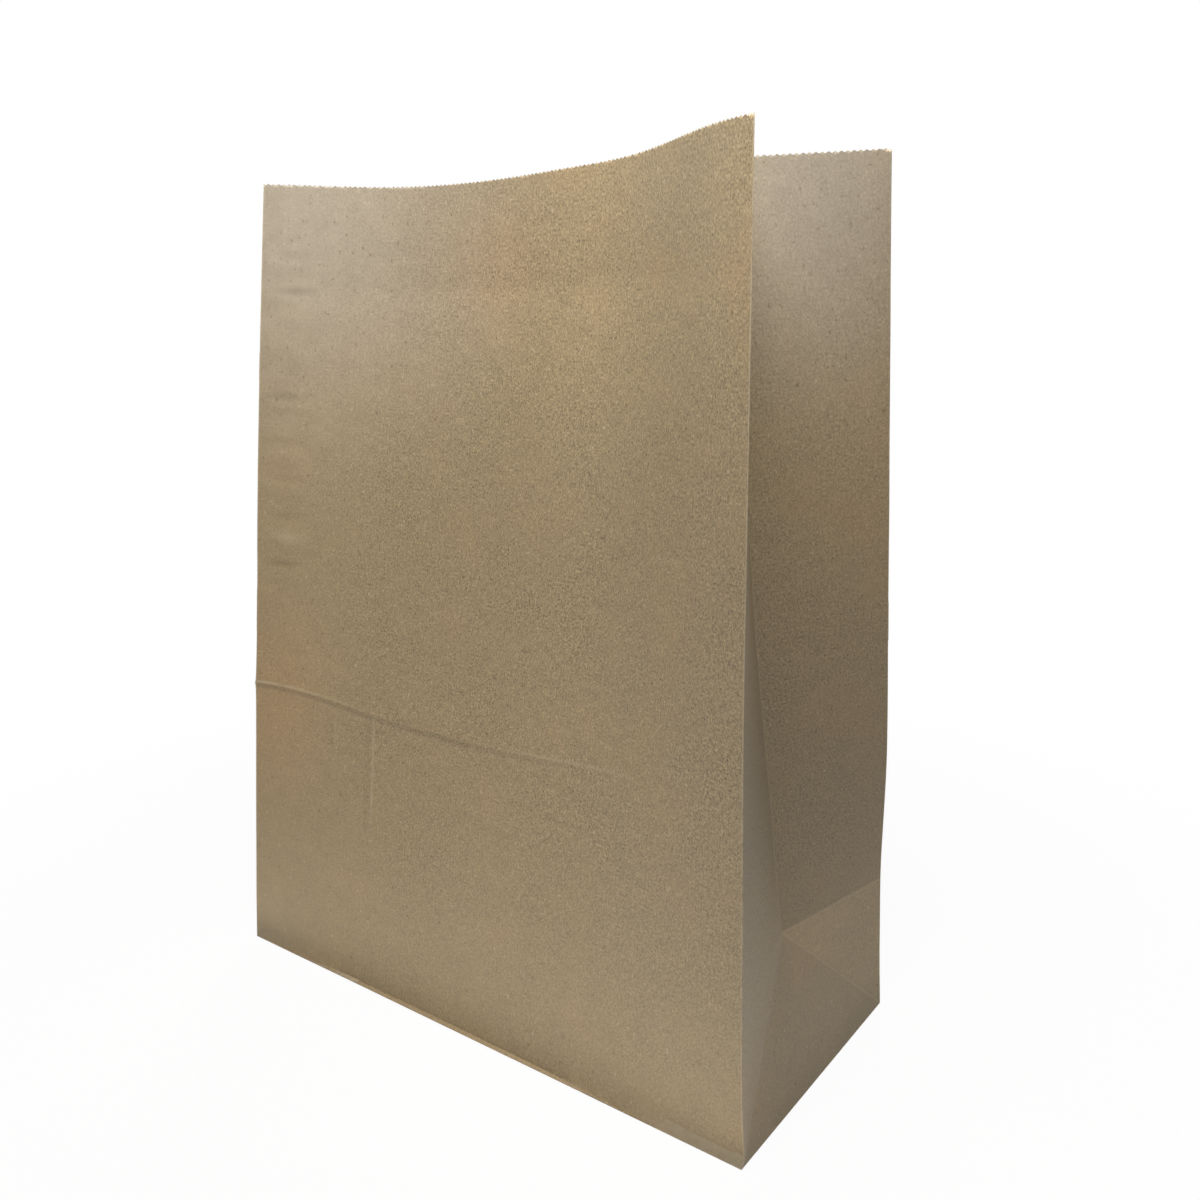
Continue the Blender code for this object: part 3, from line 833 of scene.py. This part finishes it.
    height = n.math("ADD", n.math("MULTIPLY", fibre, 0.6), n.math("MULTIPLY", grain, 0.5))
    height = n.math("ADD", height, n.math("MULTIPLY", mottle, 1.6))
    bump = n.new("ShaderNodeBump")
    bump.inputs["Strength"].default_value = 0.20
    bump.inputs["Distance"].default_value = 0.00012
    n.put(bump.inputs["Height"], height)
    n.put(surface.inputs["Normal"], bump.outputs[0])
    return material


FLOOR_HALF = 6.0
FLOOR_DROP = 0.0002
WORLD_LIGHT = 0.06
SENSOR = 36
FOCAL_LENGTH = 1146.9 / 1200 * SENSOR


def softbox(name, place, aim, size, power, colour=(1, 1, 1)):
    lamp = bpy.data.lights.new(name, "AREA")
    lamp.shape = "RECTANGLE"
    lamp.size, lamp.size_y = size
    lamp.energy = power
    lamp.color = colour
    made = bpy.data.objects.new(name, lamp)
    made.visible_camera = False
    made.location = place
    made.rotation_euler = (Vector(aim) - Vector(place)).to_track_quat("-Z", "Y").to_euler()
    bpy.context.scene.collection.objects.link(made)


def camera_white(n, surface_shader, share):
    """White for camera, glossy and transmission rays over the lit surface, by share."""
    path = n.new("ShaderNodeLightPath")
    seen = n.math("MAXIMUM", path.outputs["Is Camera Ray"], path.outputs["Is Glossy Ray"])
    seen = n.math("MAXIMUM", seen, path.outputs["Is Transmission Ray"])
    white = n.new("ShaderNodeEmission")
    white.inputs["Color"].default_value = (1, 1, 1, 1)
    white.inputs["Strength"].default_value = 1.0
    both = n.new("ShaderNodeMixShader")
    n.put(both.inputs[0], n.math("MULTIPLY", seen, share))
    n.put(both.inputs[1], surface_shader)
    n.put(both.inputs[2], white.outputs[0])
    return both.outputs[0]


def make_floor():
    mesh = bpy.data.meshes.new("floor")
    far = FLOOR_HALF
    corners = [(-far, -far, 0), (far, -far, 0), (far, far, 0), (-far, far, 0)]
    mesh.from_pydata(corners, [], [(0, 1, 2, 3)])
    floor = bpy.data.objects.new("floor", mesh)
    floor.location.z = -FLOOR_DROP
    bpy.context.scene.collection.objects.link(floor)
    material = bpy.data.materials.new("pale floor")
    material.use_nodes = True
    n = Nodes(material)
    n.tree.nodes.remove(n.tree.nodes["Principled BSDF"])
    pale = n.new("ShaderNodeBsdfDiffuse")
    pale.inputs["Color"].default_value = (0.86, 0.85, 0.81, 1)
    out = n.tree.nodes["Material Output"]
    # The floor shows the bag's shadow near it, and turns to plain white further away.
    place = n.new("ShaderNodeTexCoord")
    away = n.new("ShaderNodeVectorMath", operation="LENGTH")
    n.put(away.inputs[0], place.outputs["Object"])
    share = n.ramp(away.outputs["Value"], 0.14, 0.50, 0.95, 1.0)
    n.put(out.inputs["Surface"], camera_white(n, pale.outputs[0], share))
    mesh.materials.append(material)


def make_world():
    world = bpy.data.worlds.new("studio")
    bpy.context.scene.world = world
    world.use_nodes = True
    n = Nodes(world)
    back = n.tree.nodes["Background"]
    path = n.new("ShaderNodeLightPath")
    seen = n.math("MAXIMUM", path.outputs["Is Camera Ray"], path.outputs["Is Transmission Ray"])
    strength = n.math("MULTIPLY_ADD", seen, 1.0 - WORLD_LIGHT, WORLD_LIGHT)
    n.put(back.inputs["Strength"], strength)
    back.inputs["Color"].default_value = (1, 1, 1, 1)


def make_camera():
    data = bpy.data.cameras.new("camera")
    data.sensor_width = SENSOR
    data.lens = FOCAL_LENGTH
    data.clip_start = 0.01
    camera = bpy.data.objects.new("camera", data)
    place = (HALF_WIDTH + 0.4696 * HEIGHT, -HALF_DEPTH - 0.8702 * HEIGHT, 0.8529 * HEIGHT)
    camera.matrix_world = (
        Matrix.Translation(place)
        @ Matrix.Rotation(math.radians(36.315), 4, "Z")
        @ Matrix.Rotation(math.radians(90 - 14.539), 4, "X")
        @ Matrix.Rotation(math.radians(-0.649), 4, "Z")
    )
    bpy.context.scene.collection.objects.link(camera)
    bpy.context.scene.camera = camera


make_camera()
make_world()
make_floor()
softbox("key", (0.10, -0.15, 0.60), (0.05, 0, 0.20), (0.20, 0.20), 2.6)
softbox("right", (0.25, -0.15, 0.50), (0.125, 0, 0.20), (0.20, 0.20), 0.33)
softbox("left", (-0.9, -0.03, 0.50), (0, 0, 0.20), (0.25, 0.25), 0.5)
# Light thrown back by the floor close to the bag, warmed by the paper.
LOW = 0.004
BOUNCE = (1, 0.96, 0.84)
softbox("bounce", (0.0, -0.118, LOW), (0.0, -0.118, 1), (0.32, 0.10), 0.070, BOUNCE)
softbox("bounce right", (0.195, 0.01, LOW), (0.195, 0.01, 1), (0.10, 0.11), 0.009, BOUNCE)
softbox("rear", (-0.7, 1.2, 0.80), (0, 0, 0.15), (0.8, 0.8), 9)
bpy.context.scene.view_settings.view_transform = "Standard"

bag = make_bag()
bag.data.materials.append(kraft())
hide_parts("paper_bag")
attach(bag, "root")
